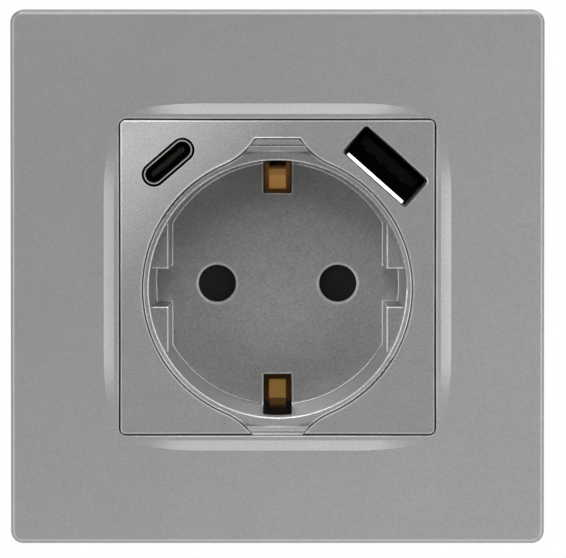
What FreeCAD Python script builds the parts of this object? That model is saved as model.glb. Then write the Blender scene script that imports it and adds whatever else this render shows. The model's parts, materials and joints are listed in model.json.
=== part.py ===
import FreeCAD, Part
import os
import re
from math import acos, atan2, cos, degrees, radians, sin, sqrt, tan

# USB wall socket, millimetres.
# Origin: centre of the square frame on the wall plane. Room side is -Y, wall box side is +Y, +Z is up.

os.makedirs("parts", exist_ok=True)
doc = FreeCAD.newDocument("usb_wall_socket")
Vec = FreeCAD.Vector
ORIGIN = Vec(0, 0, 0)
NEAR = 1e-5   # levels closer than this are the same
TO_BACK = FreeCAD.Rotation(Vec(1, 0, 0), -90)   # turns +Z to +Y, away from the room

SIZES = [
    # well of the plug
    ("well_drop", 1.8), ("well_mouth", 20.0), ("well_draft", 2.5), ("well_depth", 17.4),
    ("well_wall", 1.2), ("floor_skin", 1.5), ("floor_round", 0.25), ("mouth_round", 0.22),
    ("collar_land", 1.07), ("collar_proud", 0.15), ("collar_round", 0.28), ("collar_gap", 0.12),
    ("flare_radius", 10.3), ("tab_length", 2.38), ("tab_half", 3.55), ("tab_foot_gap", 0.06),
    ("trough_gap", 0.28), ("trough_slope", 0.95), ("trough_return", 0.85),
    ("trough_depth", 0.38), ("trough_round", 0.6),
    ("ledge_chord", 17.0), ("ledge_drop", 4.0), ("ledge_draft", 1.5), ("ledge_round", 0.16),
    ("groove_width", 5.9),
    ("pin_spacing", 19.0), ("pin_hole", 2.95), ("pin_chamfer", 0.3),
    ("slot_width", 4.5), ("slot_inset", 5.75), ("slot_top", 3.2),
    ("flange_skin", 1.5), ("flange_gap", 0.3), ("leg_side", 2.4), ("leg_inset", 1.35),
    # centre plate
    ("plate_margin", 2.8), ("plate_gap", 0.2), ("plate_proud", 0.4), ("plate_skin", 1.6),
    ("plate_wall", 0.75), ("plate_skirt", 3.6), ("plate_corner", 0.8), ("plate_round", 0.28),
    ("bead_rise", 0.06), ("bead_width", 0.3),
    # cover frame
    ("frame_border", 16.85), ("frame_corner", 1.9), ("frame_depth", 9.9), ("frame_wall", 2.0),
    ("frame_skin", 2.2), ("frame_round", 0.7), ("window_corner", 1.2), ("window_skirt", 1.4),
    ("lip_round", 0.2), ("lip_land", 0.55), ("lip_cover", 0.01), ("ramp_rise", 0.5), ("ramp_width", 1.7),
    ("ramp_swell", 0.03), ("ramp_straight", 24.0), ("ramp_length", 44.0), ("ramp_end_rise", 0.03),
    ("ramp_end_width", 1.0), ("ramp_root", 0.5),
    # steel ring
    ("ring_margin", 6.5), ("ring_corner", 4.0), ("ring_skin", 1.0), ("ring_clearance", 0.4),
    ("hole_margin", 5.0), ("box_hole", 1.75), ("lug_bite", 1.0), ("lug_half", 3.6),
    # housing behind the wall plane
    ("base_clearance", 6.4), ("base_wall", 1.6), ("base_floor", 2.0), ("base_lip", 1.6),
    ("base_flange_skin", 1.6), ("shoulder_share", 0.45), ("bay_inset", 3.5), ("claw_bay", 4.2),
    ("fit_gap", 0.2), ("tight_gap", 0.05), ("post_outer", 2.6), ("post_inset", 5.5), ("post_rise", 9.0),
    ("assembly_screw", 1.5), ("assembly_head", 2.7), ("head_skin", 1.6), ("thread_start", 2.0),
    ("recess_long", 1.4), ("recess_wide", 0.3), ("recess_deep", 0.9),
    # shutter under the floor
    ("shutter_skin", 1.8), ("shutter_reach", 13.4), ("shutter_half", 3.7), ("shutter_gap", 0.15),
    ("pivot_radius", 1.6), ("pivot_clearance", 0.06), ("hub_radius", 3.4), ("retainer_skin", 1.2),
    ("retainer_inset", 6.0), ("foot_thick", 1.6), ("foot_inset", 0.6), ("spring_wire", 0.35),
    ("spring_coil", 2.5), ("spring_pitch", 0.5), ("spring_length", 0.55), ("spring_pocket", 1.05),
    # brass parts
    ("strap_skin", 0.6), ("strap_width", 4.1), ("tongue_width", 2.6), ("strap_inset", 1.1),
    ("tongue_front_inset", 2.0), ("tongue_back_inset", 4.4), ("strap_rise", 9.0), ("bend_radius", 0.45),
    ("sleeve_outer", 3.0), ("sleeve_skin", 0.7), ("sleeve_room", 1.55), ("sleeve_slit", 1.0),
    ("tail_width", 4.0), ("tail_skin", 0.8), ("terminal_inset", 5.5), ("terminal_z", 11.5),
    ("earth_drop", 16.2), ("terminal_wide", 6.6), ("terminal_deep", 5.6), ("earth_wide", 6.0),
    ("terminal_corner", 0.4), ("terminal_rise", 1.85), ("terminal_screw", 1.75), ("terminal_head", 2.9),
    ("slot_cut", 0.8), ("wire_hole", 1.3), ("wire_offset", 4.6), ("wire_drop", 2.1),
    # claws
    ("claw_screw", 1.5), ("claw_screw_shift", 0.8), ("claw_head", 2.3), ("claw_head_skin", 1.3),
    ("claw_screw_end", 11.3), ("claw_hole_gap", 0.1), ("head_relief", 0.3), ("claw_cut", 0.7),
    ("claw_width", 6.0), ("claw_skin", 1.2), ("claw_end_gap", 1.5), ("claw_pivot_inset", 2.0),
    ("claw_pivot_y", 9.5), ("claw_hub", 1.4), ("claw_pin", 0.8), ("claw_pin_gap", 0.05),
    ("claw_slot", 0.45), ("claw_tooth", 1.2), ("tooth_pitch", 1.92), ("claw_tail", 4.4),
    # USB-A port
    ("a_side_inset", 7.65), ("a_top_inset", 7.2), ("a_turn", 41.6), ("a_long", 13.2), ("a_short", 5.8),
    ("a_corner", 0.6), ("a_flare", 0.22), ("a_flare_deep", 0.3), ("port_gap", 0.12), ("port_sink", 0.3),
    ("port_clearance", 0.36), ("shell_skin", 0.3), ("seat_skin", 2.0), ("seat_gap", 0.05),
    ("a_tongue_long", 11.1), ("a_tongue_thick", 1.84), ("a_tongue_shift", 0.85), ("a_tongue_sink", 2.6),
    ("a_tongue_chamfer", 0.3), ("a_strip_wide", 1.1), ("a_strip_pitch", 2.3), ("a_strip_skin", 0.06),
    ("a_strip_start", 2.2), ("strip_end", 1.0), ("leaf_rise", 0.36), ("leaf_lead", 0.26), ("leaf_deep", 6.0),
    ("leaf_split", 0.06),
    # USB-C port
    ("c_side_inset", 7.45), ("c_top_inset", 6.55), ("c_turn", 40.8), ("c_long", 9.7), ("c_short", 3.86),
    ("c_rim", 0.4), ("c_shell_skin", 0.2), ("c_tongue_long", 6.7), ("c_tongue_thick", 0.7),
    ("c_tongue_round", 0.25), ("c_tongue_sink", 1.2), ("c_strip_wide", 0.26), ("c_strip_pitch", 0.5),
    ("c_strip_skin", 0.05), ("c_strip_start", 2.0),
    # circuit boards and supply
    ("board_skin", 1.6), ("board_front", 0.5), ("board_inset", 1.7), ("board_lip", 0.9),
    ("link_side", 0.64), ("link_pitch", 2.54), ("link_inset", 4.4), ("link_tail", 1.0), ("supply_depth", 14.0),
    ("supply_wall", 1.2), ("supply_inset", 0.8), ("supply_low", 1.2), ("supply_board_gap", 2.0),
    ("core_wide", 13.0), ("core_high", 11.0), ("core_deep", 7.6), ("core_inset", 12.0),
    ("core_leg", 1.52), ("bobbin_wide", 8.06), ("bobbin_high", 8.25), ("bobbin_cheek", 0.76),
    ("winding_radius", 3.25), ("winding_high", 6.6), ("cap_radius", 3.1), ("cap_length", 7.8),
    ("cap_round", 0.4), ("cap_inset", 12.0), ("cap_rise", 7.2), ("chip_side", 5.0), ("chip_high", 4.0),
    ("chip_skin", 1.3), ("part_gap", 1.2), ("choke_radius", 2.6), ("choke_length", 5.0),
]

sheet = doc.addObject("Spreadsheet::Sheet", "Sizes")
size = {}


def put(alias, number):
    """Writes one named number into the sheet and keeps it for this script."""
    row = len(size) + 1
    sheet.set("A%d" % row, alias)
    sheet.set("B%d" % row, repr(float(number)))
    sheet.setAlias("B%d" % row, alias)
    size[alias] = float(number)
    return size[alias]


for alias, number in SIZES:
    put(alias, number)

# Widths and places that follow from the sizes above, from the well outwards
collar_outer = put("collar_outer", size["well_mouth"] + size["collar_land"])
tab_reach = put("tab_reach", collar_outer + size["tab_length"])
trough_start = put("trough_start", collar_outer + size["trough_gap"])
plate_half = put("plate_half", tab_reach - size["well_drop"] + size["plate_margin"])
window_side = put("window_side", 2 * (plate_half + size["plate_gap"]))
frame_side = put("frame_side", window_side + 2 * size["frame_border"])
ring_side = put("ring_side", frame_side - 2 * size["ring_margin"])
box_pitch = put("box_pitch", ring_side - 2 * size["hole_margin"])
slot_start = put("slot_start", size["well_mouth"] - size["slot_inset"])
strap_leg = put("strap_leg", size["well_mouth"] - size["strap_inset"])
retainer_radius = put("retainer_radius", size["well_mouth"] - size["retainer_inset"])
base_outer = put("base_outer", size["well_mouth"] + size["base_clearance"])
base_flange = put("base_flange", base_outer + size["base_lip"])
ring_bore = put("ring_bore", base_outer + size["ring_clearance"])
lug_reach = put("lug_reach", base_outer - size["lug_bite"])
claw_flat = put("claw_flat", base_outer - size["bay_inset"])
claw_screw_x = put("claw_screw_x", base_outer + size["claw_screw_shift"])
claw_pivot_x = put("claw_pivot_x", base_outer - size["claw_pivot_inset"])
post_x = put("post_x", size["well_mouth"] - size["post_inset"])
terminal_x = put("terminal_x", size["well_mouth"] - size["terminal_inset"])
pin_x = put("pin_x", size["pin_spacing"] / 2)
well_z = put("well_z", -size["well_drop"])
a_x = put("a_x", plate_half - size["a_side_inset"])
a_z = put("a_z", plate_half - size["a_top_inset"])
c_x = put("c_x", plate_half - size["c_side_inset"])
c_z = put("c_z", plate_half - size["c_top_inset"])
board_inner = put("board_inner", size["well_mouth"] + size["board_inset"])
board_outer = put("board_outer", base_outer + size["board_lip"])
board_low = put("board_low", board_inner * size["shoulder_share"])
link_z = put("link_z", board_outer - size["link_inset"])
supply_outer = put("supply_outer", base_outer - size["supply_inset"])
core_z = put("core_z", supply_outer - size["core_inset"])
cap_x = put("cap_x", supply_outer - size["cap_inset"])
cap_z = put("cap_z", size["supply_low"] + size["cap_rise"])
beside_cap_z = put("beside_cap_z", cap_z + 2 * size["cap_radius"])

# Levels along Y, front to back
frame_face = put("frame_face", -size["frame_depth"])
plate_face = put("plate_face", frame_face - size["plate_proud"])
plate_under = put("plate_under", plate_face + size["plate_skin"])
collar_face = put("collar_face", plate_face - size["collar_proud"])
flange_back = put("flange_back", plate_under + size["flange_skin"])
trough_face = put("trough_face", collar_face + size["trough_depth"])
floor_face = put("floor_face", collar_face + size["well_depth"])
floor_back = put("floor_back", floor_face + size["floor_skin"])
floor_radius = put("floor_radius", size["well_mouth"] - size["well_depth"] * tan(radians(size["well_draft"])))
ring_front = put("ring_front", -size["ring_skin"])
board_back = put("board_back", size["board_front"] + size["board_skin"])
shutter_front = put("shutter_front", floor_back + size["shutter_gap"])
shutter_back = put("shutter_back", shutter_front + size["shutter_skin"])
retainer_front = put("retainer_front", shutter_back + size["shutter_gap"])
retainer_back = put("retainer_back", retainer_front + size["retainer_skin"])
strap_back = put("strap_back", retainer_back + size["fit_gap"] + size["strap_skin"])
terminal_front = put("terminal_front", strap_back + size["terminal_rise"])
base_inside = put("base_inside", terminal_front + size["terminal_deep"])
base_depth = put("base_depth", base_inside + size["base_floor"])
sleeve_front = put("sleeve_front", retainer_back + size["fit_gap"])
sleeve_back = put("sleeve_back", base_inside - size["sleeve_room"])
claw_end = put("claw_end", base_depth - size["claw_end_gap"])
supply_board = put("supply_board", base_depth + size["supply_board_gap"])
supply_top = put("supply_top", supply_board + size["board_skin"])
doc.recompute()


def bound(words):
    """Points every size name in an expression at its cell."""
    return re.sub(r"[a-z]+(?:_[a-z]+)+", lambda found: "Sizes." + found.group(0), str(words))


def tie(item, **sizes):
    """Binds properties such as Length or Radius to expressions on the sheet."""
    for prop, words in sizes.items():
        item.setExpression(prop, bound(words))
    return item


def place(item, x=0, y=0, z=0, turn=FreeCAD.Rotation()):
    item.Placement = FreeCAD.Placement(ORIGIN, turn)
    for axis, words in (("x", x), ("y", y), ("z", z)):
        if words != 0:
            item.setExpression("Placement.Base." + axis, bound(words))
    return item


def box(name, length, depth, height, x=0, y=0, z=0):
    """A block from its low corner."""
    item = tie(doc.addObject("Part::Box", name), Length=length, Width=depth, Height=height)
    return place(item, x, y, z)


def rod(name, radius, length, x=0, y=0, z=0, turn=TO_BACK):
    """A cylinder that runs from its start point towards the back."""
    item = tie(doc.addObject("Part::Cylinder", name), Radius=radius, Height=length)
    return place(item, x, y, z, turn)


def fuse(name, *items):
    item = doc.addObject("Part::MultiFuse", name)
    item.Shapes = list(items)
    item.Refine = True
    return item


def cut(name, base, *tools):
    tool = tools[0] if len(tools) == 1 else fuse(name + "_tools", *tools)
    item = doc.addObject("Part::Cut", name)
    item.Base = base
    item.Tool = tool
    item.Refine = True
    return item


def solid(name, shape, at=ORIGIN, turn=FreeCAD.Rotation()):
    """A piece made with curves that no primitive gives."""
    item = doc.addObject("Part::Feature", name)
    item.Shape = shape
    item.Placement = FreeCAD.Placement(at, turn).multiply(shape.Placement)
    return item


def rounded(name, base, wanted, radius):
    """Rounds the edges that the test picks out."""
    doc.recompute()
    item = doc.addObject("Part::Fillet", name)
    item.Base = base
    edges = [i for i, edge in enumerate(base.Shape.Edges, start=1) if wanted(edge)]
    item.Edges = [(i, radius, radius) for i in edges]
    return item


def runs_back(edge):
    """Tells whether an edge runs straight from front to back."""
    reach = edge.BoundBox
    return reach.YLength > size["tight_gap"] and reach.XLength + reach.ZLength < size["tight_gap"]


def lies_at(edge, level):
    """Tells whether an edge lies wholly at one level along Y."""
    return abs(edge.BoundBox.YMin - level) < NEAR and abs(edge.BoundBox.YMax - level) < NEAR


def line(x1, z1, x2, z2):
    return Part.LineSegment(Vec(x1, 0, z1), Vec(x2, 0, z2)).toShape()


def arc(start, middle, end):
    points = [Vec(x, 0, z) for x, z in (start, middle, end)]
    return Part.Arc(*points).toShape()


def prism(edges, front, back):
    """Pads a closed outline, drawn in x and z, from one level to another."""
    face = Part.Face(Part.Wire(edges))
    face.translate(Vec(0, front, 0))
    return face.extrude(Vec(0, back - front, 0))


def sheet_along_x(points, low, high):
    """Pads a closed outline, given as (y, z) points, along X."""
    face = Part.Face(Part.makePolygon([Vec(low, y, z) for y, z in points + points[:1]]))
    return face.extrude(Vec(high - low, 0, 0))


def slab(x1, x2, y1, y2, z1, z2):
    return Part.makeBox(x2 - x1, y2 - y1, z2 - z1, Vec(x1, y1, z1))


def tube(radius, y1, y2, x=0.0, z=0.0):
    return Part.makeCylinder(radius, y2 - y1, Vec(x, y1, z), Vec(0, 1, 0))


def upright(radius, half, x, y):
    """A cylinder that stands along Z, centred on the middle level."""
    return Part.makeCylinder(radius, 2 * half, Vec(x, y, -half), Vec(0, 0, 1))


def rounded_rectangle(long, short, corner):
    """Edges of a rectangle with round corners, centred on the axis."""
    a, b = long / 2, short / 2
    flat_a, flat_b = a - corner, b - corner
    k = corner * (1 - sqrt(0.5))
    edges = []
    for sx, sz in ((1, 1), (-1, 1), (-1, -1), (1, -1)):
        middle = (sx * (a - k), sz * (b - k))
        edges.append(arc((sx * a, sz * flat_b), middle, (sx * flat_a, sz * b)))
    for side in (1, -1):
        if flat_a > NEAR:
            edges.append(line(-flat_a, side * b, flat_a, side * b))
        if flat_b > NEAR:
            edges.append(line(side * a, -flat_b, side * a, flat_b))
    return Part.__sortEdges__(edges)


def fillet_at(shape, level, radius):
    """Rounds the edges of a shape that lie wholly at one level along Y."""
    return shape.makeFillet(radius, [edge for edge in shape.Edges if lies_at(edge, level)])


def collar_outline(offset, top_end, bottom_end):
    """Collar circle with its two tabs, drawn about the well axis, grown by the offset."""
    flare = size["flare_radius"]
    corner = sqrt(size["tab_half"] ** 2 + tab_reach ** 2)
    lean = atan2(size["tab_half"], tab_reach)
    reach = collar_outer + flare
    spread = acos((corner ** 2 + reach ** 2 - flare ** 2) / (2 * corner * reach))
    cx, cz = reach * sin(lean + spread), reach * cos(lean + spread)
    radius = collar_outer + offset
    inner = flare - offset
    tx, tz = radius * cx / reach, radius * cz / reach
    edges = []
    for sz, end in ((1, top_end), (-1, bottom_end)):
        half = cx - sqrt(inner ** 2 - (cz - end) ** 2)
        middle = (half + tx - 2 * cx, end + tz - 2 * cz)
        scale = inner / sqrt(middle[0] ** 2 + middle[1] ** 2)
        mx, mz = cx + middle[0] * scale, cz + middle[1] * scale
        for sx in (1, -1):
            edges.append(arc((sx * tx, sz * tz), (sx * mx, sz * mz), (sx * half, sz * end)))
        edges.append(line(-half, sz * end, half, sz * end))
    for sx in (1, -1):
        edges.append(arc((sx * tx, tz), (sx * radius, 0), (sx * tx, -tz)))
    return Part.__sortEdges__(edges)


def port_frame(port, shape):
    """Turns a shape drawn about the port's middle along its slant and moves it there."""
    side, x, z = (1, a_x, a_z) if port == "a" else (-1, c_x, c_z)
    shape.rotate(ORIGIN, Vec(0, 1, 0), side * size[port + "_turn"])
    shape.translate(Vec(side * x, 0, z))
    return shape


def port_edges(port, grow):
    """Outline of a port, grown by an offset and drawn about its middle."""
    long, short = size[port + "_long"] + 2 * grow, size[port + "_short"] + 2 * grow
    corner = short / 2 if port == "c" else size["a_corner"] + grow
    return rounded_rectangle(long, short, corner)


def port_prism(port, grow, front, back):
    return port_frame(port, prism(port_edges(port, grow), front, back))


def ramp_section(level):
    """Rim and ramp beside the right edge of the window, cut across at one level along Z."""
    past = max(0, abs(level) - size["ramp_straight"] / 2) / ((size["ramp_length"] - size["ramp_straight"]) / 2)
    share = cos(radians(90 * past)) ** 2
    rise = size["ramp_end_rise"] + share * (size["ramp_rise"] - size["ramp_end_rise"])
    width = size["ramp_end_width"] + (1 - past ** 2) * (size["ramp_width"] - size["ramp_end_width"])
    lip, root = size["lip_round"], size["ramp_root"]
    wall = window_side / 2 - size["lip_cover"]
    edge = window_side / 2 + lip + size["lip_land"]
    turn = lip * (1 - sqrt(0.5))
    top, foot = frame_face - rise, frame_face + size["ramp_end_rise"]
    swell = size["ramp_swell"] * (1 + share) / 2
    points = [(wall, frame_face + root), (wall, top + lip), (wall + turn, top + turn), (wall + lip, top),
              (edge, top), (edge + width / 2, (top + foot) / 2 - swell), (edge + width, foot),
              (edge + width, frame_face + root)]
    corners = [Vec(x, y, level) for x, y in points]
    return Part.Wire([Part.LineSegment(corners[0], corners[1]).toShape(), Part.Arc(*corners[1:4]).toShape(),
                      Part.LineSegment(corners[3], corners[4]).toShape(), Part.Arc(*corners[4:7]).toShape(),
                      Part.LineSegment(corners[6], corners[7]).toShape(),
                      Part.LineSegment(corners[7], corners[0]).toShape()])


def ramp_solid():
    """Raised rim beside the window with a ramp outside it, both dying away towards the corners."""
    straight, reach = size["ramp_straight"] / 2, size["ramp_length"] / 2
    steps = 6
    levels = [straight + (reach - straight) * step / steps for step in range(steps + 1)]
    upper = Part.makeLoft([ramp_section(level) for level in levels], True, False)
    lower = upper.mirror(ORIGIN, Vec(0, 0, 1))
    middle = Part.makeLoft([ramp_section(-straight), ramp_section(straight)], True, True)
    return lower.fuse([middle, upper]).removeSplitter()


def build_outer_frame():
    block = box("frame_block", "frame_side", "frame_depth", "frame_side",
                "-frame_side / 2", "frame_face", "-frame_side / 2")
    corners = rounded("frame_corners", block, runs_back, size["frame_corner"])
    front = rounded("frame_front", corners, lambda edge: lies_at(edge, frame_face), size["frame_round"])
    opening = box("window_block", "window_side", "2 * frame_depth", "window_side",
                  "-window_side / 2", "-1.5 * frame_depth", "-window_side / 2")
    window = rounded("window_cut", opening, runs_back, size["window_corner"])
    pierced = cut("frame_pierced", front, window)
    rim = frame_side / 2 - size["frame_round"] - NEAR
    lip = rounded("frame_lip", pierced, lambda edge: lies_at(edge, frame_face)
                  and edge.BoundBox.XMax < rim and edge.BoundBox.XMin > -rim
                  and edge.BoundBox.ZMax < rim and edge.BoundBox.ZMin > -rim, size["lip_round"])
    ramp = ramp_solid()
    ramps = []
    for step in range(4):
        turn = FreeCAD.Rotation(Vec(0, 1, 0), 90 * step)
        ramps.append(solid("ramp_%d" % step, ramp.copy(), ORIGIN, turn))
    face = fuse("frame_with_ramps", lip, *ramps)
    hollow = box("frame_hollow", "frame_side - 2 * frame_wall", "frame_depth - frame_skin",
                 "frame_side - 2 * frame_wall", "-(frame_side / 2 - frame_wall)", "frame_face + frame_skin",
                 "-(frame_side / 2 - frame_wall)")
    skirt = box("frame_skirt", "window_side + 2 * window_skirt", "frame_depth - frame_skin - ring_skin",
                "window_side + 2 * window_skirt", "-(window_side / 2 + window_skirt)",
                "frame_face + frame_skin", "-(window_side / 2 + window_skirt)")
    inside = cut("frame_inside", hollow, skirt)
    reliefs = []
    for name, side in (("left", -1), ("right", 1)):
        reliefs.append(rod("head_relief_" + name, "claw_head + head_relief", "claw_head_skin + head_relief",
                           "%d * claw_screw_x" % side, "ring_front - claw_head_skin - head_relief"))
    return cut("outer_frame", face, inside, *reliefs)


def bead_shape():
    """Low upstand on the plate round the collar opening."""
    top_foot = tab_reach + 0.6 * size["bead_width"]
    foot = Part.Wire(collar_outline(size["bead_width"], top_foot, tab_reach))
    top = Part.Wire(collar_outline(0, tab_reach, tab_reach))
    foot.translate(Vec(0, plate_face, 0))
    top.translate(Vec(0, plate_face - size["bead_rise"], 0))
    bead = Part.makeLoft([foot, top], True, True)
    bead.translate(Vec(0, 0, well_z))
    side = plate_half - size["plate_round"]
    return bead.common(slab(-side, side, plate_face - 2 * size["bead_rise"], plate_face, -side, side))


def build_cover_plate():
    block = box("plate_block", "2 * plate_half", "plate_skin + plate_skirt", "2 * plate_half",
                "-plate_half", "plate_face", "-plate_half")
    corners = rounded("plate_corners", block, runs_back, size["plate_corner"])
    front = rounded("plate_front", corners, lambda edge: lies_at(edge, plate_face), size["plate_round"])
    body = fuse("plate_with_bead", front, solid("plate_bead", bead_shape()))
    hollow = box("plate_hollow", "2 * (plate_half - plate_wall)", "plate_skirt + plate_skin",
                 "2 * (plate_half - plate_wall)", "-(plate_half - plate_wall)", "plate_under",
                 "-(plate_half - plate_wall)")
    front_end, back_end = plate_face - size["plate_skin"], plate_under + 2 * size["plate_skirt"]
    opening = prism(collar_outline(0, tab_reach, tab_reach), front_end, back_end)
    opening.translate(Vec(0, 0, well_z))
    tools = [solid("collar_opening", opening)]
    for port in ("a", "c"):
        tools.append(solid("port_opening_" + port, port_prism(port, 0, front_end, back_end)))
    return cut("cover_plate", body, hollow, *tools)


def collar_block():
    """Front of the insert: collar with two tabs, their ends falling away in a trough."""
    foot = window_side / 2 - size["tab_foot_gap"] + well_z
    edges = collar_outline(-size["collar_gap"], tab_reach - size["collar_gap"], foot)
    block = fillet_at(prism(edges, collar_face, plate_under), collar_face, size["collar_round"])
    slope, back, depth = size["trough_slope"], size["trough_return"], size["trough_depth"]
    low, far = trough_start + slope, trough_start + slope + back
    wide = 2 * size["tab_half"]
    for side in (1, -1):
        points = [(trough_face, side * low), (collar_face - depth, side * (far + back)),
                  (collar_face - depth, side * (trough_start - slope))]
        trough = sheet_along_x(points, -wide, wide)
        block = block.cut(fillet_at(trough, trough_face, size["trough_round"]))
    return block


def well_hollow():
    """The tapered space that the plug goes into, with the four side ledges left standing."""
    hollow = Part.makeCone(size["well_mouth"], floor_radius, size["well_depth"],
                           Vec(0, collar_face, 0), Vec(0, 1, 0))
    top = collar_face + size["ledge_drop"]
    chord, half, reach = size["ledge_chord"], size["groove_width"] / 2, size["well_mouth"]
    foot = chord - (floor_face - top) * tan(radians(size["ledge_draft"]))
    for side in (1, -1):
        points = [Vec(side * chord, top, 0), Vec(side * reach, top, 0), Vec(side * reach, floor_face, 0),
                  Vec(side * foot, floor_face, 0), Vec(side * chord, top, 0)]
        face = Part.Face(Part.makePolygon(points))
        for low in (half, -reach):
            ledge = face.copy()
            ledge.translate(Vec(0, 0, low))
            hollow = hollow.cut(ledge.extrude(Vec(0, 0, reach - half)))
    edges = [edge for edge in hollow.Edges if lies_at(edge, top) and edge.Curve.TypeId == "Part::GeomLine"]
    hollow = hollow.makeFillet(size["ledge_round"], edges)
    return fillet_at(hollow, floor_face, size["floor_round"])


def round_mouth(body):
    """Rounds the edge where the well opens into the collar's face."""
    edges = []
    for edge in body.Edges:
        reach = edge.BoundBox
        widest = max(abs(reach.XMin), abs(reach.XMax), abs(reach.ZMin), abs(reach.ZMax))
        if lies_at(edge, collar_face) and abs(widest - size["well_mouth"]) < NEAR:
            edges.append(edge)
    return body.makeFillet(size["mouth_round"], edges)


def build_socket_insert():
    body = collar_block()
    wall = size["well_wall"]
    outside = size["well_mouth"] - (plate_under - collar_face) * tan(radians(size["well_draft"])) + wall
    body = body.fuse(Part.makeCone(outside, floor_radius + wall, floor_back - plate_under,
                                   Vec(0, plate_under, 0), Vec(0, 1, 0)))
    half = plate_half - size["plate_wall"] - size["flange_gap"]
    past = size["flange_skin"]
    flange = slab(-half, half, plate_under, flange_back, -half, half)
    for port in ("a", "c"):
        flange = flange.cut(port_prism(port, size["port_clearance"], plate_under - past, flange_back + past))
    flange = flange.cut(port_frame("a", slab(-half, half, plate_under - past, flange_back + past, 0, half)))
    leg, inset = size["leg_side"] / 2, size["leg_inset"]
    for sx, sz in ((-1, 1), (-1, -1), (1, -1)):
        x, z = sx * (half - inset), sz * (half - inset)
        flange = flange.fuse(slab(x - leg, x + leg, plate_under, ring_front, z - leg, z + leg))
    flange.translate(Vec(0, 0, -well_z))
    body = round_mouth(body.fuse(flange).cut(well_hollow()))
    pin, chamfer = size["pin_hole"], size["pin_chamfer"]
    past = size["floor_skin"]
    for side in (1, -1):
        x = side * pin_x
        body = body.cut(tube(pin, floor_face - past, floor_back + past, x))
        body = body.cut(Part.makeCone(pin + chamfer, pin, chamfer, Vec(x, floor_face, 0), Vec(0, 1, 0)))
        low, high = sorted((side * slot_start, side * (size["well_mouth"] + 2 * wall)))
        slot = size["slot_width"] / 2
        body = body.cut(slab(-slot, slot, collar_face + size["slot_top"], floor_back + past, low, high))
    for side in (1, -1):
        x, z = side * post_x, size["post_rise"]
        body = body.fuse(tube(size["post_outer"], floor_back, base_inside, x, z))
        body = body.cut(tube(size["assembly_screw"], floor_back + size["thread_start"] / 2, base_depth, x, z))
    body = body.fuse(tube(size["pivot_radius"], floor_back, retainer_back))
    return solid("socket_insert", body.removeSplitter(), Vec(0, 0, well_z))


def build_support_ring():
    steel = box("ring_sheet", "ring_side", "ring_skin", "ring_side", "-ring_side / 2", "ring_front",
                "-ring_side / 2")
    corners = rounded("ring_corners", steel, runs_back, size["ring_corner"])
    half, past = size["lug_half"], size["ring_skin"]
    front, back = ring_front - past, past
    bore = tube(ring_bore, front, back)
    for side in (1, -1):
        low, high = sorted((side * lug_reach, side * 2 * lug_reach))
        bore = bore.cut(slab(low, high, front, back, -half, half))
    for port in ("a", "c"):
        bore = bore.fuse(port_prism(port, size["port_clearance"], front, back))
    tools = [solid("ring_opening", bore)]
    for name, side in (("top", 1), ("bottom", -1)):
        tools.append(rod("box_hole_" + name, "box_hole", "3 * ring_skin", 0, "-2 * ring_skin",
                         "%d * box_pitch / 2" % side))
    for name, side in (("left", -1), ("right", 1)):
        tools.append(rod("claw_hole_" + name, "claw_screw + claw_hole_gap", "3 * ring_skin",
                         "%d * claw_screw_x" % side, "-2 * ring_skin"))
    return cut("support_ring", corners, *tools)


def side_bays(grow, front, back):
    """The two flat-sided recesses in which the claws stand."""
    bays = []
    for side in (1, -1):
        low, high = sorted((side * (claw_flat - grow), side * 2 * claw_flat))
        bays.append(slab(low, high, front, back, -size["claw_bay"] - grow, size["claw_bay"] + grow))
    return bays


def wire_entries():
    """Places of the wire holes beside the three terminal screws."""
    x, z = terminal_x - size["wire_offset"], -size["terminal_z"] - size["wire_drop"]
    return [(x, z), (-x, z), (size["wire_drop"], -size["earth_drop"] - size["wire_drop"])]


def build_socket_base():
    front, back = ring_front, base_depth
    past = size["base_floor"]
    outside = tube(base_outer, front, back)
    outside = outside.fuse(tube(base_flange, 0, size["base_flange_skin"]))
    wall, gap = size["base_wall"], size["fit_gap"]
    for bay in side_bays(0, front - past, back + past):
        outside = outside.cut(bay)
    inside = tube(base_outer - wall, front - past, base_inside)
    for bay in side_bays(wall, front - 2 * past, back + past):
        inside = inside.cut(bay)
    body = outside.cut(inside)
    reach = base_flange
    body = body.cut(slab(-reach, reach, front - past, board_back, board_low, reach))
    low, high = base_inside - past, back + past
    screw, head = size["assembly_screw"] + gap, size["terminal_head"] + gap
    for side in (1, -1):
        body = body.cut(tube(screw, low, high, side * post_x, well_z + size["post_rise"]))
        body = body.cut(tube(head, low, high, side * terminal_x, -size["terminal_z"]))
        body = body.cut(upright(size["claw_pin"], reach, side * claw_pivot_x, size["claw_pivot_y"]))
    body = body.cut(tube(head, low, high, 0, -size["earth_drop"]))
    for x, z in wire_entries():
        body = body.cut(tube(size["wire_hole"], low, high, x, z))
    slot, high_gap = 2 * size["link_pitch"], size["link_side"]
    body = body.cut(slab(-slot, slot, low, high, link_z - high_gap, link_z + high_gap))
    return solid("socket_base", body)


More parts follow.
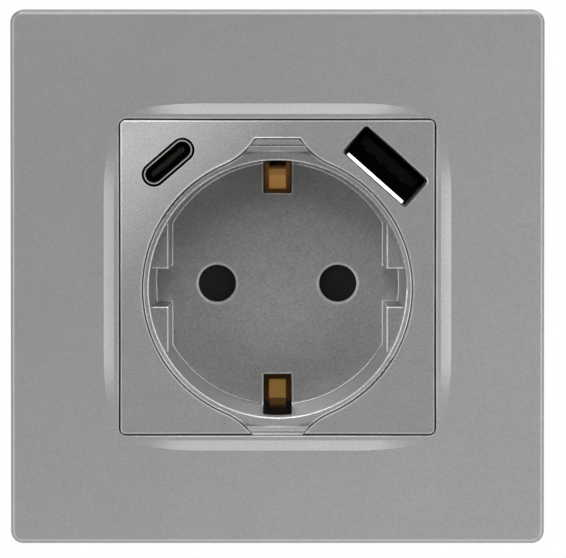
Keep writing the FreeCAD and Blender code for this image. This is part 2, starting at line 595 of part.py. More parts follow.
def build_shutter_parts():
    disc = rod("retainer_disc", "retainer_radius", "retainer_skin", 0, "retainer_front", "well_z")
    feet = []
    for name, start in (("top", "well_z + retainer_radius - foot_inset - foot_thick"),
                        ("bottom", "well_z + foot_inset - retainer_radius")):
        feet.append(box("retainer_foot_" + name, "hub_radius", "retainer_back - floor_back", "foot_thick",
                        "-hub_radius / 2", "floor_back", start))
    holes = [rod("retainer_pivot_hole", "pivot_radius + pivot_clearance", "3 * retainer_skin", 0,
                 "retainer_front - retainer_skin", "well_z")]
    for name, side in (("right", 1), ("left", -1)):
        holes.append(rod("retainer_pin_hole_" + name, "pin_hole + fit_gap", "3 * retainer_skin",
                         "%d * pin_x" % side, "retainer_front - retainer_skin", "well_z"))
    holder = cut("shutter_retainer", fuse("retainer_body", disc, *feet), *holes)

    reach, half, past = size["shutter_reach"] - size["shutter_half"], size["shutter_half"], size["shutter_skin"]
    bar = slab(-reach, reach, shutter_front, shutter_back, -half, half)
    for side in (1, -1):
        bar = bar.fuse(tube(half, shutter_front, shutter_back, side * reach))
    pivot = size["pivot_radius"] + size["pivot_clearance"]
    bar = bar.cut(tube(pivot, shutter_front - past, shutter_back + past))
    pocket = size["spring_coil"] + size["spring_wire"] + size["fit_gap"]
    bar = bar.cut(tube(pocket, shutter_back - size["spring_pocket"], shutter_back + past))
    shutter = solid("shutter", bar.removeSplitter(), Vec(0, 0, well_z))

    coil_radius = size["spring_coil"]
    helix = Part.makeHelix(size["spring_pitch"], size["spring_length"], coil_radius)
    profile = Part.Wire([Part.makeCircle(size["spring_wire"] / 2, Vec(coil_radius, 0, 0), Vec(0, 1, 0))])
    coil = Part.Wire(helix.Edges).makePipeShell([profile], True, True)
    coil.rotate(ORIGIN, Vec(1, 0, 0), -90)
    coil.translate(Vec(0, retainer_front - size["spring_length"] - size["fit_gap"], 0))
    return [holder, shutter, solid("shutter_spring", coil, Vec(0, 0, well_z))]


def strap_clip(side):
    """Leg and hairpin spring clip at one end of the earth strap, drawn about the well axis."""
    skin, bend = size["strap_skin"], size["bend_radius"]
    front = floor_face - size["strap_rise"]
    thin = size["tongue_width"] / 2
    legs = slab(-thin, thin, front, strap_back, strap_leg - skin, strap_leg)
    turn = size["well_mouth"] - size["tongue_front_inset"] - skin
    tip = size["well_mouth"] - size["tongue_back_inset"]
    hairpin = [(front, strap_leg), (front - bend, strap_leg), (front - 2 * bend, strap_leg - bend),
               (front - 2 * bend, turn), (floor_face - 2 * bend, tip - skin), (floor_face - 2 * bend, tip),
               (front - bend, turn + skin), (front - bend, strap_leg - skin), (front, strap_leg - skin)]
    clip = legs.fuse(sheet_along_x(hairpin, -thin, thin))
    if side < 0:
        clip = clip.mirror(ORIGIN, Vec(0, 0, 1))
    return clip


def build_earth_strap():
    skin, wide = size["strap_skin"], size["strap_width"] / 2
    front = strap_back - skin
    strap = slab(-wide, wide, front, strap_back, -strap_leg, strap_leg)
    for side in (1, -1):
        strap = strap.fuse(strap_clip(side))
    strap = strap.cut(tube(size["pivot_radius"] + size["fit_gap"], front - skin, strap_back + skin))
    end = -size["earth_drop"] - wide - well_z
    strap = strap.fuse(slab(-wide, wide, strap_back, terminal_front, end, end + skin))
    return solid("earth_strap", strap.removeSplitter(), Vec(0, 0, well_z))


def build_contacts():
    """Sprung sleeves for the plug's pins, each with a tail that lies on its terminal."""
    made = []
    outer, inner = size["sleeve_outer"], size["sleeve_outer"] - size["sleeve_skin"]
    slit, tail = size["sleeve_slit"] / 2, size["tail_width"] / 2
    past = size["tail_skin"]
    low, high = terminal_front - past, terminal_front
    for name, side in (("left", -1), ("right", 1)):
        x, end_x, end_z = side * pin_x, side * terminal_x, -size["terminal_z"]
        sleeve = tube(outer, sleeve_front, sleeve_back, x, well_z)
        run = Vec(end_x - x, 0, end_z - well_z)
        strip = slab(-tail, tail, low, high, 0, run.Length)
        strip.rotate(ORIGIN, Vec(0, 1, 0), degrees(atan2(run.x, run.z)))
        strip.translate(Vec(x, 0, well_z))
        pad = slab(end_x - tail, end_x + tail, low, high, end_z - tail, end_z + tail)
        sleeve = sleeve.fuse(strip).fuse(pad)
        sleeve = sleeve.cut(tube(inner, sleeve_front - past, sleeve_back + past, x, well_z))
        thread = size["terminal_screw"] + size["fit_gap"]
        sleeve = sleeve.cut(tube(thread, low - past, high + past, end_x, end_z))
        sleeve = sleeve.cut(slab(x - slit, x + slit, sleeve_front - past, sleeve_back + past,
                                 well_z, well_z + 2 * outer))
        made.append(solid(name + "_contact", sleeve.removeSplitter()))
    return made


def build_terminals():
    made = []
    spots = (("left", "0 - terminal_x", "0 - terminal_z", "terminal_wide"),
             ("right", "terminal_x", "0 - terminal_z", "terminal_wide"),
             ("earth", "0 * terminal_x", "0 - earth_drop", "earth_wide"))
    for name, x, z, wide in spots:
        block = box(name + "_terminal_block", wide, "terminal_deep", wide,
                    "%s - %s / 2" % (x, wide), "terminal_front", "%s - %s / 2" % (z, wide))
        block = rounded(name + "_terminal_edges", block, runs_back, size["terminal_corner"])
        thread = rod(name + "_terminal_thread", "terminal_screw", "2 * terminal_deep", x,
                     "terminal_front - terminal_deep / 2", z)
        made.append(cut(name + "_terminal", block, thread))
        shank = rod(name + "_terminal_shank", "terminal_screw", "terminal_deep - head_skin", x,
                    "terminal_front + head_skin", z)
        head = rod(name + "_terminal_head", "terminal_head", "head_skin", x, "base_inside", z)
        slot = box(name + "_terminal_slot", "2 * terminal_head", "head_skin", "slot_cut",
                   x + " - terminal_head", "base_inside + head_skin / 2", z + " - slot_cut / 2")
        made.append(cut(name + "_terminal_screw", fuse(name + "_terminal_pin", shank, head), slot))
    return made


def build_assembly_screws():
    made = []
    for name, side in (("left", -1), ("right", 1)):
        x, z = "%d * post_x" % side, "well_z + post_rise"
        head = rod(name + "_assembly_head", "assembly_head", "head_skin", x, "base_depth", z)
        shank = rod(name + "_assembly_shank", "assembly_screw", "base_depth - floor_back - thread_start", x,
                    "floor_back + thread_start", z)
        cross = []
        for way, long, high in (("flat", "recess_long", "recess_wide"), ("tall", "recess_wide", "recess_long")):
            cross.append(box("%s_recess_%s" % (name, way), "2 * " + long, "head_skin", "2 * " + high,
                             x + " - " + long, "base_depth + head_skin - recess_deep", z + " - " + high))
        made.append(cut(name + "_assembly_screw", fuse(name + "_assembly_pin", shank, head), *cross))
    return made


def claw_shape():
    """The right claw: hub, toothed arm and the fork that its screw pulls."""
    px, py, hub = claw_pivot_x, size["claw_pivot_y"], size["claw_hub"]
    half, skin = size["claw_width"] / 2, size["claw_skin"]
    end, tooth, pitch = claw_end, size["claw_tooth"], size["tooth_pitch"]
    slot = size["claw_screw"] + size["claw_slot"]
    body = upright(hub, half, px, py)
    body = body.fuse(slab(px - skin / 2, px + skin / 2, py, end, -half, half))
    body = body.fuse(slab(px, px + size["claw_tail"], py - skin / 2, py + skin / 2, -half, half))
    for step in range(3):
        y = end - step * pitch
        points = [Vec(px, y, -half), Vec(px + skin / 2 + tooth, y, -half), Vec(px, y - pitch, -half),
                  Vec(px, y, -half)]
        body = body.fuse(Part.Face(Part.makePolygon(points)).extrude(Vec(0, 0, 2 * half)))
    body = body.cut(upright(size["claw_pin"] + size["claw_pin_gap"], size["claw_width"], px, py))
    low = px + size["claw_pin"] + size["fit_gap"]
    body = body.cut(slab(low, px + 2 * size["claw_tail"], py - 2 * hub, py + 2 * hub, -slot, slot))
    body = body.cut(slab(px - hub, px + 2 * hub, py + hub, size["claw_screw_end"] + 2 * skin, -slot, slot))
    return body.removeSplitter()


def claw_screw_shape():
    x, head, skin = claw_screw_x, size["claw_head"], size["claw_head_skin"]
    half = size["claw_cut"] / 2
    top = tube(head, ring_front - skin, ring_front, x)
    top = top.cut(slab(x - head, x + head, ring_front - 2 * skin, ring_front - skin / 2, -half, half))
    return top.fuse(tube(size["claw_screw"], ring_front, size["claw_screw_end"], x))


def build_claws():
    made = []
    for name, side in (("left", -1), ("right", 1)):
        turn = FreeCAD.Rotation(Vec(0, 1, 0), 0 if side > 0 else 180)
        made.append(solid(name + "_claw", claw_shape(), ORIGIN, turn))
        made.append(solid(name + "_claw_screw", claw_screw_shape(), ORIGIN, turn))
        made.append(rod(name + "_claw_pin", "claw_pin", "2 * (claw_bay + base_wall)",
                        "%d * claw_pivot_x" % side, "claw_pivot_y", "-(claw_bay + base_wall)",
                        FreeCAD.Rotation()))
    return made


def lead_in_leaves(front, throat):
    """Two leaves side by side on the long side across from the tongue, sloped to let a plug in."""
    low, reach = -size["a_short"] / 2 - throat, size["a_long"] / 2 + throat - size["a_corner"]
    top, lead = low + size["leaf_rise"], front + size["leaf_lead"]
    low -= size["a_flare"] / 2
    points = [(front + size["seat_gap"], low), (lead, top), (front + size["leaf_deep"], top),
              (front + size["leaf_deep"], low)]
    leaves = sheet_along_x(points, -reach, reach)
    split = size["leaf_split"]
    return leaves.cut(slab(-split, split, front, lead + size["leaf_deep"], low + size["a_flare"] / 2, top))


def build_usb_a():
    front, back = plate_face + size["port_sink"], size["board_front"]
    seat, skin = back - size["seat_skin"], size["shell_skin"]
    edge = -size["port_gap"]
    shell = port_prism("a", edge, front, back)
    throat = edge - size["a_flare"]
    wide, narrow = Part.Wire(port_edges("a", edge - size["seat_gap"])), Part.Wire(port_edges("a", throat))
    wide.translate(Vec(0, front, 0))
    narrow.translate(Vec(0, front + size["a_flare_deep"], 0))
    shell = shell.cut(port_frame("a", Part.makeLoft([wide, narrow], True, True)))
    shell = shell.cut(port_prism("a", throat, front, back + skin))
    shell = shell.fuse(port_frame("a", lead_in_leaves(front, throat)))
    rear = prism(port_edges("a", throat - size["seat_gap"]), seat, back)
    half, thick, shift = size["a_tongue_long"] / 2, size["a_tongue_thick"] / 2, size["a_tongue_shift"]
    tip = front + size["a_tongue_sink"]
    tongue = slab(-half, half, tip, seat, shift - thick, shift + thick)
    tongue = tongue.makeChamfer(size["a_tongue_chamfer"], [edge for edge in tongue.Edges if lies_at(edge, tip)])
    strips = []
    half, under = size["a_strip_wide"] / 2, shift - thick
    for step in range(4):
        x = (step - 1.5) * size["a_strip_pitch"]
        strips.append(slab(x - half, x + half, tip + size["a_strip_start"], seat - size["strip_end"],
                           under - size["a_strip_skin"], under))
    return [solid("usb_a_shell", shell),
            solid("usb_a_tongue", port_frame("a", rear.fuse(tongue).removeSplitter())),
            solid("usb_a_contacts", port_frame("a", Part.makeCompound(strips)))]


def build_usb_c():
    front, back = plate_face + size["port_sink"], size["board_front"]
    seat, skin = back - size["seat_skin"], size["c_shell_skin"]
    edge = -size["c_rim"]
    shell = port_prism("c", edge, front, back)
    shell = shell.cut(port_prism("c", edge - skin, front - skin, back + skin))
    rear = prism(port_edges("c", edge - skin - size["seat_gap"]), seat, back)
    half, thick = size["c_tongue_long"] / 2, size["c_tongue_thick"] / 2
    tip = front + size["c_tongue_sink"]
    tongue = slab(-half, half, tip, seat, -thick, thick)
    tongue = tongue.makeFillet(size["c_tongue_round"], [edge for edge in tongue.Edges if lies_at(edge, tip)])
    strips = []
    half, lift = size["c_strip_wide"] / 2, size["c_strip_skin"]
    for step in range(12):
        x = (step - 5.5) * size["c_strip_pitch"]
        for low in (-thick - lift, thick):
            strips.append(slab(x - half, x + half, tip + size["c_strip_start"], seat - size["strip_end"],
                               low, low + lift))
    return [solid("usb_c_shell", shell),
            solid("usb_c_tongue", port_frame("c", rear.fuse(tongue).removeSplitter())),
            solid("usb_c_contacts", port_frame("c", Part.makeCompound(strips)))]


def half_disc(radius, front, back, low):
    """The part of a disc that lies above a level."""
    reach = 2 * radius
    return tube(radius, front, back).common(slab(-reach, reach, front, back, low, reach))


def link_places():
    """Left edges and centres of the four square pins that join the two boards."""
    return [(step - 1.5) * size["link_pitch"] for step in range(4)]


def build_boards():
    """Ring-shaped board behind the ports, the pins to the supply and the supply's own board."""
    side, front, past = size["link_side"] / 2, size["board_front"], size["board_skin"]
    low = board_low + size["fit_gap"]
    ports = half_disc(board_outer, front, board_back, low)
    ports = ports.cut(tube(board_inner, front - past, board_back + past, 0, well_z))
    edge = supply_outer - size["supply_wall"] - size["fit_gap"]
    low = size["supply_low"] + size["supply_wall"] + size["fit_gap"]
    supply = half_disc(edge, supply_board, supply_top, low)
    pins = []
    for x in link_places():
        pin = slab(x - side, x + side, front - past, supply_top + past, link_z - side, link_z + side)
        ports, supply = ports.cut(pin), supply.cut(pin)
        pins.append(slab(x - side, x + side, front - size["link_tail"], supply_top + size["link_tail"],
                         link_z - side, link_z + side))
    return [solid("usb_board", ports), solid("link_pins", Part.makeCompound(pins)),
            solid("power_board", supply)]


def build_power_housing():
    wall, low, back = size["supply_wall"], size["supply_low"], base_depth + size["supply_depth"]
    case = half_disc(supply_outer, base_depth, back, low)
    case = case.cut(half_disc(supply_outer - wall, base_depth - wall, back - wall, low + wall))
    head = size["assembly_head"] + size["fit_gap"]
    for side in (1, -1):
        case = case.cut(tube(head, base_depth - wall, base_depth + size["head_skin"] + size["fit_gap"],
                             side * post_x, well_z + size["post_rise"]))
    return solid("power_housing", case)


def build_transformer():
    wide, high, deep = size["core_wide"] / 2, size["core_high"] / 2, size["core_deep"]
    leg, cheek = size["core_leg"], size["bobbin_cheek"]
    bobbin_wide, bobbin_high = size["bobbin_wide"] / 2, size["bobbin_high"] / 2
    middle, back = supply_top + deep / 2, supply_top + deep
    bobbin = slab(-bobbin_wide, bobbin_wide, supply_top, back, core_z - bobbin_high, core_z + bobbin_high)
    core = slab(-wide, wide, supply_top + leg, back - leg, core_z - high, core_z + high).cut(bobbin)
    winding = upright(size["winding_radius"], size["winding_high"] / 2, 0, middle)
    winding.translate(Vec(0, 0, core_z))
    waist = bobbin_high - 1.5 * cheek
    spool = bobbin.cut(slab(-wide, wide, supply_top + cheek, back - cheek, core_z - waist, core_z + waist))
    return [solid("transformer_core", core),
            solid("transformer_coil", spool.fuse(winding).removeSplitter())]


def build_small_parts():
    made = []
    end = supply_top + size["cap_length"]
    for name, side in (("input_capacitor", -1), ("output_capacitor", 1)):
        can = rod(name + "_can", "cap_radius", "cap_length", "%d * cap_x" % side, "supply_top", "cap_z")
        made.append(rounded(name, can, lambda edge: lies_at(edge, end), size["cap_round"]))
    made.append(rod("choke", "choke_radius", "choke_length", "fit_gap + part_gap / 2 - cap_x", "supply_top",
                    "beside_cap_z + fit_gap"))
    made.append(box("controller_chip", "chip_side", "chip_skin", "chip_high",
                    "cap_x - part_gap - chip_side / 2", "supply_top", "beside_cap_z + part_gap - chip_high / 2"))
    return made


pieces = [build_outer_frame(), build_cover_plate(), build_socket_insert(), build_support_ring(),
          build_socket_base(), build_earth_strap(), build_power_housing()]
for build in (build_shutter_parts, build_contacts, build_terminals, build_assembly_screws, build_claws,
              build_usb_a, build_usb_c, build_boards, build_transformer, build_small_parts):
    pieces += build()
doc.recompute()

for item in doc.Objects:
    if "Invalid" in item.State or "Error" in item.State:
        raise RuntimeError("feature failed: " + item.Name)
for piece in pieces:
    piece.Label = piece.Name
    if piece.Shape.isNull() or not piece.Shape.isValid():
        raise RuntimeError("bad shape: " + piece.Name)
    print(piece.Label, len(piece.Shape.Solids), round(piece.Shape.Volume, 1))
    piece.Shape.exportStep("parts/" + piece.Label + ".step")
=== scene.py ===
import bpy
import json
from math import cos, radians, sin
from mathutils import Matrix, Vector


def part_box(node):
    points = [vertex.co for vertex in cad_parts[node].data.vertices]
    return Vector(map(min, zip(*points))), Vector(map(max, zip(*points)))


# USB wall socket, metres: room side is -Y, the wall is the plane y = 0, Z is up
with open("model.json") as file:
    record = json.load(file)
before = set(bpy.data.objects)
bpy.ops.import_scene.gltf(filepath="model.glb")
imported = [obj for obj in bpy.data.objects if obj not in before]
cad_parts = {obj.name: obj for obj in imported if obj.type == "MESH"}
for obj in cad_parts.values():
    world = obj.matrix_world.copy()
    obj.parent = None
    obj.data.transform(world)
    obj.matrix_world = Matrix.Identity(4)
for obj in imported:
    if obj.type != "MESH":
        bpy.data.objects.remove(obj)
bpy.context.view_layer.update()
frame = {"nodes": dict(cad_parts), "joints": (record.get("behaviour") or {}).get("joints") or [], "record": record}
nodes = frame["nodes"]
print("frame loaded:", len(nodes), "nodes")

joints = {joint["name"]: joint for joint in frame["joints"]}
wellHeight = joints["shutter_turn"]["pos_m"][2]   # the shutter turns about the well's axis
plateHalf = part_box("cover_plate")[1][0]
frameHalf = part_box("outer_frame")[1][0]


# node helpers: every finish is a small tree of shader nodes
def newNode(tree, kind, sockets=None, **settings):
    # a socket is linked to another node's output or holds a plain value
    node = tree.nodes.new("ShaderNode" + kind)
    for key, value in settings.items():
        setattr(node, key, value)
    for key, value in (sockets or {}).items():
        if isinstance(value, bpy.types.NodeSocket):
            tree.links.new(value, node.inputs[key])
        else:
            node.inputs[key].default_value = value
    return node


def newFinish(name):
    material = bpy.data.materials.new(name)
    material.use_nodes = True
    material.node_tree.nodes.clear()
    return material, material.node_tree


def objectPlace(tree):
    return newNode(tree, "TexCoord").outputs["Object"]


def mathNode(tree, operation, *values):
    return newNode(tree, "Math", dict(enumerate(values)), operation=operation).outputs["Value"]


def noiseNode(tree, scale, detail, roughness):
    noise = newNode(tree, "TexNoise", {
        "Vector": objectPlace(tree), "Scale": scale, "Detail": detail, "Roughness": roughness})
    return noise.outputs["Fac"]


def bandNode(tree, source, places, values, kind="SMOOTHSTEP"):
    # a value that changes from one to the next between two places
    band = newNode(tree, "MapRange", {
        "Value": source, "From Min": places[0], "From Max": places[1],
        "To Min": values[0], "To Max": values[1]}, interpolation_type=kind)
    return band.outputs["Result"]


def scaleNode(tree, paint, factor):
    scaled = newNode(tree, "VectorMath", {0: paint, "Scale": factor}, operation="SCALE")
    return scaled.outputs["Vector"]


def axisDistance(tree, side=0.0):
    # distance from the well's axis, or from two axes that far to its left and right
    parts = newNode(tree, "SeparateXYZ", {"Vector": objectPlace(tree)})
    across = mathNode(tree, "ABSOLUTE", parts.outputs["X"])
    flat = newNode(tree, "CombineXYZ", {
        "X": mathNode(tree, "SUBTRACT", across, side),
        "Z": mathNode(tree, "SUBTRACT", parts.outputs["Z"], wellHeight)})
    length = newNode(tree, "VectorMath", {0: flat.outputs["Vector"]}, operation="LENGTH")
    return length.outputs["Value"]


def squareDistance(tree):
    # half the side of the upright square, about the frame's middle, that a place lies on
    parts = newNode(tree, "SeparateXYZ", {"Vector": objectPlace(tree)})
    across = mathNode(tree, "ABSOLUTE", parts.outputs["X"])
    upward = mathNode(tree, "ABSOLUTE", parts.outputs["Z"])
    return mathNode(tree, "MAXIMUM", across, upward)


# painted light and shade that some finishes have on top of their mottled paint
def paintedShadingNode(tree, paint, start, end, low, high):
    # painted light and shade: the colour runs from darker to lighter between two places on the object
    way = (Vector(end) - Vector(start)).normalized()
    along = newNode(tree, "VectorMath", {0: objectPlace(tree), 1: way}, operation="DOT_PRODUCT")
    places = Vector(start).dot(way), Vector(end).dot(way)
    return scaleNode(tree, paint, bandNode(tree, along.outputs["Value"], places, (low, high)))


# how the painted edge highlights find sharp edges
edgeSearch = {
    "samples": 6,
    "flat": 0.95,    # share of short rays into the solid that meet no face, where it is flat
    "sharp": 0.5,    # and at a sharp edge
}


def edgeHighlightNode(tree, paint, reach, bands):
    # painted highlights: sharp edges are made brighter, by a gain that changes over bands about the well or the
    # frame
    inside = newNode(tree, "AmbientOcclusion", {"Distance": reach},
                     inside=True, only_local=True, samples=edgeSearch["samples"])
    gain = 1.0
    for distance, places, gains in bands:
        gain = mathNode(tree, "MULTIPLY", gain, bandNode(tree, distance(tree), places, gains))
    shares = edgeSearch["flat"], edgeSearch["sharp"]
    bright = bandNode(tree, inside.outputs["AO"], shares, (1.0, gain), "LINEAR")
    return scaleNode(tree, paint, bright)


def troughShadeNode(tree, paint, places, tone):
    # painted shade: the troughs in the two tabs are darker
    return scaleNode(tree, paint, bandNode(tree, axisDistance(tree), places, (1.0, tone)))


def holeHighlightNode(tree, paint, apart, radius, width, gain):
    # painted highlight: a bright ring round the mouths of the two holes
    distance = axisDistance(tree, apart / 2)
    ring = bandNode(tree, distance, (radius, radius + width), (gain, 1.0))
    return scaleNode(tree, paint, ring)


# the painted light and shade, in the order it is laid on
extras = {"paintedShading": paintedShadingNode, "edgeHighlight": edgeHighlightNode, "troughShade": troughShadeNode, "holeHighlight": holeHighlightNode}

noises = {
    "broad": dict(detail=2.0, roughness=0.6),
    "fine": dict(detail=4.0, roughness=0.7),
    "dark": 0.3,         # noise at which the mottling is darkest
    "light": 0.7,        # and lightest
    "roughVary": 0.05,   # how far the fine noise moves the roughness each way
}

# what a finish has where it says nothing else
plainLook = dict(fineShare=0.5, metal=0.0, specular=0.5, grazing=(1.0, 1.0, 1.0))


def shade(colour, factor):
    return tuple(min(1.0, c * factor) for c in colour) + (1.0,)


def mottleNode(tree, source, colour, spread):
    ramp = newNode(tree, "ValToRGB", {"Fac": source})
    dark, light = ramp.color_ramp.elements
    dark.position, dark.color = noises["dark"], shade(colour, 1 - spread)
    light.position, light.color = noises["light"], shade(colour, 1 + spread)
    return ramp.outputs["Color"]


def surface(name, look):
    # a mottled colour, a varied roughness and a fine bump
    look = {**plainLook, **look}
    material, tree = newFinish(name)
    broad = noiseNode(tree, look["broadScale"], **noises["broad"])
    fine = noiseNode(tree, look["fineScale"], **noises["fine"])
    mix = newNode(tree, "Mix", {"Factor": look["fineShare"], "A": broad, "B": fine})
    paint = mottleNode(tree, mix.outputs["Result"], look["colour"], look["mottle"])
    for key, extra in extras.items():
        if key in look:
            paint = extra(tree, paint, **look[key])
    rough = look["rough"] - noises["roughVary"], look["rough"] + noises["roughVary"]
    bump = newNode(tree, "Bump", {
        "Height": fine, "Strength": look["bump"], "Distance": look["grain"]})
    shader = newNode(tree, "BsdfPrincipled", {
        "Base Color": paint,
        "Metallic": look["metal"],
        "Roughness": bandNode(tree, fine, (0.0, 1.0), rough, "LINEAR"),
        "Normal": bump.outputs["Normal"],
        "Specular IOR Level": look["specular"],
        "Specular Tint": look["grazing"] + (1.0,)})
    newNode(tree, "OutputMaterial", {"Surface": shader.outputs["BSDF"]})
    return material


# what a user would change about the finishes, most of them by record slot
finishes = {
    "frame_paint": dict(
        colour=(0.335, 0.335, 0.335), mottle=0.11, broadScale=60, fineScale=2600, fineShare=0.85,
        rough=0.44, metal=0.75, bump=0.10, grain=0.00003,
        # painted shade and light: the face darker at the upper left, lighter towards the lower right
        paintedShading=dict(start=(-0.033, 0, 0.033), end=(0.033, 0, -0.033), low=0.82, high=0.98),
        edgeHighlight=dict(reach=0.00025, bands=[   # painted edge highlight, brightest on the lip, dull at the outer border
            (squareDistance, (plateHalf + 0.00075, plateHalf + 0.00095), (2.7, 1.0)),
            (squareDistance, (frameHalf - 0.0055, frameHalf - 0.0025), (1.0, 0.7))])),
    "plate_paint": dict(
        colour=(0.33, 0.33, 0.33), mottle=0.26, broadScale=400, fineScale=3500, fineShare=0.88,
        rough=0.42, metal=0.8, bump=0.16, grain=0.00003,
        # painted highlight: the plate lighter towards its upper-left corner
        paintedShading=dict(start=(-0.009, 0, 0.009), end=(-0.023, 0, 0.023), low=0.89, high=1.60),
        edgeHighlight=dict(reach=0.00020, bands=[   # painted edge highlight, duller beside the collar
            (axisDistance, (0.0222, 0.0226), (1.1, 1.6))])),
    "well_paint": dict(
        colour=(0.33, 0.33, 0.33), mottle=0.26, broadScale=400, fineScale=3500, fineShare=0.88,
        rough=0.34, metal=0.85, bump=0.16, grain=0.00003,
        # painted shade and light: the well darker at the top, lighter towards the bottom
        paintedShading=dict(start=(-0.004, 0, 0.018), end=(0.004, 0, -0.012), low=0.80, high=1.31),
        edgeHighlight=dict(reach=0.00038, bands=[   # painted edge highlight, brightest on the rim of the well
            (axisDistance, (0.0204, 0.0207), (2.3, 1.2))]),
        # painted shade in the troughs of the tabs
        troughShade=dict(places=(0.0212, 0.0217), tone=0.50),
        # painted highlight round the pin holes
        holeHighlight=dict(apart=0.019, radius=0.00318, width=0.00015, gain=2.5)),
    "ring_steel": dict(
        colour=(0.56, 0.56, 0.55), mottle=0.08, broadScale=50, fineScale=900,
        rough=0.33, metal=1.0, bump=0.10, grain=0.00003),
    "base_plastic": dict(
        colour=(0.50, 0.50, 0.48), mottle=0.03, broadScale=70, fineScale=1500,
        rough=0.50, bump=0.12, grain=0.00004),
    "inner_plastic": dict(
        colour=(0.20, 0.20, 0.20), mottle=0.04, broadScale=80, fineScale=1500,
        rough=0.50, bump=0.10, grain=0.00003),
    "dark_plastic": dict(
        colour=(0.004, 0.004, 0.004), mottle=0.10, broadScale=150, fineScale=2000,
        rough=0.45, specular=0.15, bump=0.10, grain=0.00003),
    "spring_steel": dict(
        colour=(0.55, 0.55, 0.55), mottle=0.06, broadScale=300, fineScale=2500,
        rough=0.28, metal=1.0, bump=0.06, grain=0.00002),
    "brass": dict(
        colour=(0.72, 0.46, 0.15), mottle=0.14, broadScale=220, fineScale=1800,
        rough=0.34, metal=1.0, bump=0.12, grain=0.00003),
    "strap_brass": dict(
        colour=(0.62, 0.32, 0.11), mottle=0.14, broadScale=220, fineScale=1800,
        rough=0.34, metal=1.0, grazing=(0.95, 0.76, 0.50), bump=0.12, grain=0.00003,
        # painted shade: the strap darker towards its bottom
        paintedShading=dict(start=(0, 0, -0.017), end=(0, 0, 0.002), low=0.28, high=1.10)),
    "screw_steel": dict(
        colour=(0.62, 0.62, 0.60), mottle=0.06, broadScale=150, fineScale=1500,
        rough=0.30, metal=1.0, bump=0.08, grain=0.00002),
    "shell_steel": dict(
        colour=(0.64, 0.62, 0.59), mottle=0.04, broadScale=120, fineScale=1800,
        rough=0.34, metal=1.0, bump=0.05, grain=0.00002),
    # painted reflection: a paler copy of the shell steel, bright on the shell's lower sides and dark on its upper
    # sides
    "shell_steel_painted_reflection": dict(
        colour=(0.86, 0.84, 0.81), mottle=0.04, broadScale=120, fineScale=1800,
        rough=0.24, metal=1.0, bump=0.05, grain=0.00002,
        paintedShading=dict(start=(0.0086, 0, 0.0230), end=(0.0072, 0, 0.0193), low=0.25, high=1.15)),
    "port_black": dict(
        colour=(0.0015, 0.0015, 0.0015), mottle=0.10, broadScale=150, fineScale=2000,
        rough=0.50, specular=0.04, bump=0.10, grain=0.00003),
    "gilt": dict(
        colour=(0.83, 0.60, 0.25), mottle=0.05, broadScale=400, fineScale=2500,
        rough=0.22, metal=1.0, bump=0.05, grain=0.00002),
    "board": dict(
        colour=(0.02, 0.13, 0.05), mottle=0.15, broadScale=250, fineScale=2200,
        rough=0.35, bump=0.10, grain=0.00002),
    "supply_plastic": dict(
        colour=(0.025, 0.025, 0.028), mottle=0.08, broadScale=90, fineScale=1500,
        rough=0.45, bump=0.14, grain=0.00004),
    "ferrite": dict(
        colour=(0.04, 0.04, 0.043), mottle=0.10, broadScale=200, fineScale=1500,
        rough=0.50, bump=0.15, grain=0.00004),
    "tape": dict(
        colour=(0.70, 0.50, 0.05), mottle=0.08, broadScale=120, fineScale=1200,
        rough=0.35, bump=0.08, grain=0.00003),
    "can": dict(
        colour=(0.10, 0.10, 0.13), mottle=0.06, broadScale=150, fineScale=1500,
        rough=0.30, bump=0.06, grain=0.00002),
}

# these pieces have finishes of their own, paler or darker than the rest of their slots; on the insert, the strap
# and the USB-A shell these carry painted light and shade
ownFinish = {
    "socket_insert": "well_paint",
    "earth_strap": "strap_brass",
    "usb_a_shell": "shell_steel_painted_reflection",
    "usb_a_tongue": "port_black",
}

materials = {name: surface(name, look) for name, look in finishes.items()}
slotOf = {row["node"]: row["material_slot"] for row in frame["record"]["subparts"]}
for name, node in nodes.items():
    for holder in node.material_slots:
        holder.material = materials[ownFinish.get(name, slotOf[name])]
print("finishes set on", len(nodes), "nodes")

# where the photograph was taken from
view = {
    "distance": 1.2,            # from the frame's face
    "height": radians(2.8),     # how far above level the eye stands
    "pixelsPerMm": 6.43,        # at the frame's face
    "imageWidth": 566,
    "sensor": 36.0,
    "nearest": 0.01,
    "face": -0.0095,
    "rightOfCentre": 0.00086,   # the aim point, from the frame's middle
    "belowCentre": 0.00030,
}


def addCamera():
    data = bpy.data.cameras.new("camera")
    camera = bpy.data.objects.new("camera", data)
    bpy.context.scene.collection.objects.link(camera)
    acrossImage = view["imageWidth"] / view["pixelsPerMm"] / 1000
    data.sensor_width = view["sensor"]
    data.lens = view["sensor"] * view["distance"] / acrossImage
    data.clip_start = view["nearest"]
    aim = Vector((view["rightOfCentre"], view["face"], -view["belowCentre"]))
    back = Vector((0, -cos(view["height"]), sin(view["height"])))
    camera.location = aim + view["distance"] * back
    camera.rotation_euler = (-back).to_track_quat("-Z", "Y").to_euler()
    bpy.context.scene.camera = camera


# soft lamps all round the socket, wide of the view: place, size and power of each
lamps = {
    "leftPanel": dict(place=(-0.58, -0.56, 0.05), size=(0.4, 0.6), power=2.45),
    "rightPanel": dict(place=(0.58, -0.56, 0.05), size=(0.4, 0.6), power=2.35),
    "topPanel": dict(place=(0.15, -0.25, 0.75), size=(1.3, 0.25), power=4.2),
    "bottomPanel": dict(place=(0.0, -0.25, -0.235), size=(0.35, 0.14), power=0.26),
    "cornerPanel": dict(place=(0.56, -0.75, 0.58), size=(0.3, 0.3), power=0.75),
    "frontPanel": dict(place=(-0.06, -0.90, 0.47), size=(0.3, 0.3), power=2.45),
}


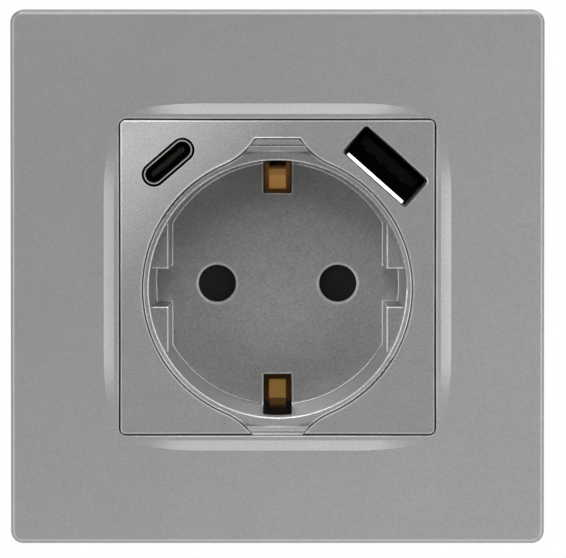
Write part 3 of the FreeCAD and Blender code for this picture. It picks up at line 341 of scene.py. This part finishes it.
def addLamp(name, place, size, power):
    data = bpy.data.lights.new(name, "AREA")
    data.shape = "RECTANGLE"
    data.size, data.size_y = size
    data.energy = power
    lamp = bpy.data.objects.new(name, data)
    bpy.context.scene.collection.objects.link(lamp)
    lamp.location = place
    lamp.rotation_euler = (-Vector(place)).to_track_quat("-Z", "Y").to_euler()   # at the socket


studio = {
    "worldLevel": 0.12,
    "backdropLevel": 1.0,        # white
    "backdrop": (-0.45, 0.15),   # Y of the directions over which black turns to the backdrop
    "floorLevel": -0.25,
    "floorSize": 1.4,
    "floorColour": (0.80, 0.80, 0.80),
    "floorRough": 0.8,
    "floorWhite": 0.9,           # how white the floor is seen: the rest keeps its shadow
}


def addWorld():
    world = bpy.data.worlds.new("studio")
    world.use_nodes = True
    tree = world.node_tree
    tree.nodes.clear()
    white = (1, 1, 1, 1)
    soft = newNode(tree, "Background", {"Color": white, "Strength": studio["worldLevel"]})
    backdrop = newNode(tree, "Background", {"Color": white, "Strength": studio["backdropLevel"]})
    # the white backdrop stands behind the socket and shows in its edges too
    direction = newNode(tree, "TexCoord").outputs["Generated"]
    parts = newNode(tree, "SeparateXYZ", {"Vector": direction})
    behind = bandNode(tree, parts.outputs["Y"], studio["backdrop"], (0.0, 1.0))
    seen = newNode(tree, "LightPath").outputs["Is Camera Ray"]
    mix = newNode(tree, "MixShader", {
        "Fac": mathNode(tree, "MAXIMUM", seen, behind),
        1: soft.outputs["Background"],
        2: backdrop.outputs["Background"]})
    newNode(tree, "OutputWorld", {"Surface": mix.outputs["Shader"]})
    bpy.context.scene.world = world


def addFloor():
    half = studio["floorSize"] / 2
    corners = [(-half, -half, 0), (half, -half, 0), (half, half, 0), (-half, half, 0)]
    mesh = bpy.data.meshes.new("floor")
    mesh.from_pydata(corners, [], [(0, 1, 2, 3)])
    floor = bpy.data.objects.new("floor", mesh)
    floor.location = (0, 0, studio["floorLevel"])
    bpy.context.scene.collection.objects.link(floor)
    material, tree = newFinish("floorPaint")
    shader = newNode(tree, "BsdfPrincipled", {
        "Base Color": studio["floorColour"] + (1,), "Roughness": studio["floorRough"]})
    white = newNode(tree, "Emission")
    seen = newNode(tree, "LightPath").outputs["Is Camera Ray"]
    mix = newNode(tree, "MixShader", {
        "Fac": mathNode(tree, "MULTIPLY", seen, studio["floorWhite"]),
        1: shader.outputs["BSDF"],
        2: white.outputs["Emission"]})
    newNode(tree, "OutputMaterial", {"Surface": mix.outputs["Shader"]})
    mesh.materials.append(material)


addCamera()
for name, lamp in lamps.items():
    addLamp(name, **lamp)
addWorld()
addFloor()
bpy.context.scene.view_settings.view_transform = "Standard"
print("camera, lamps and floor placed")
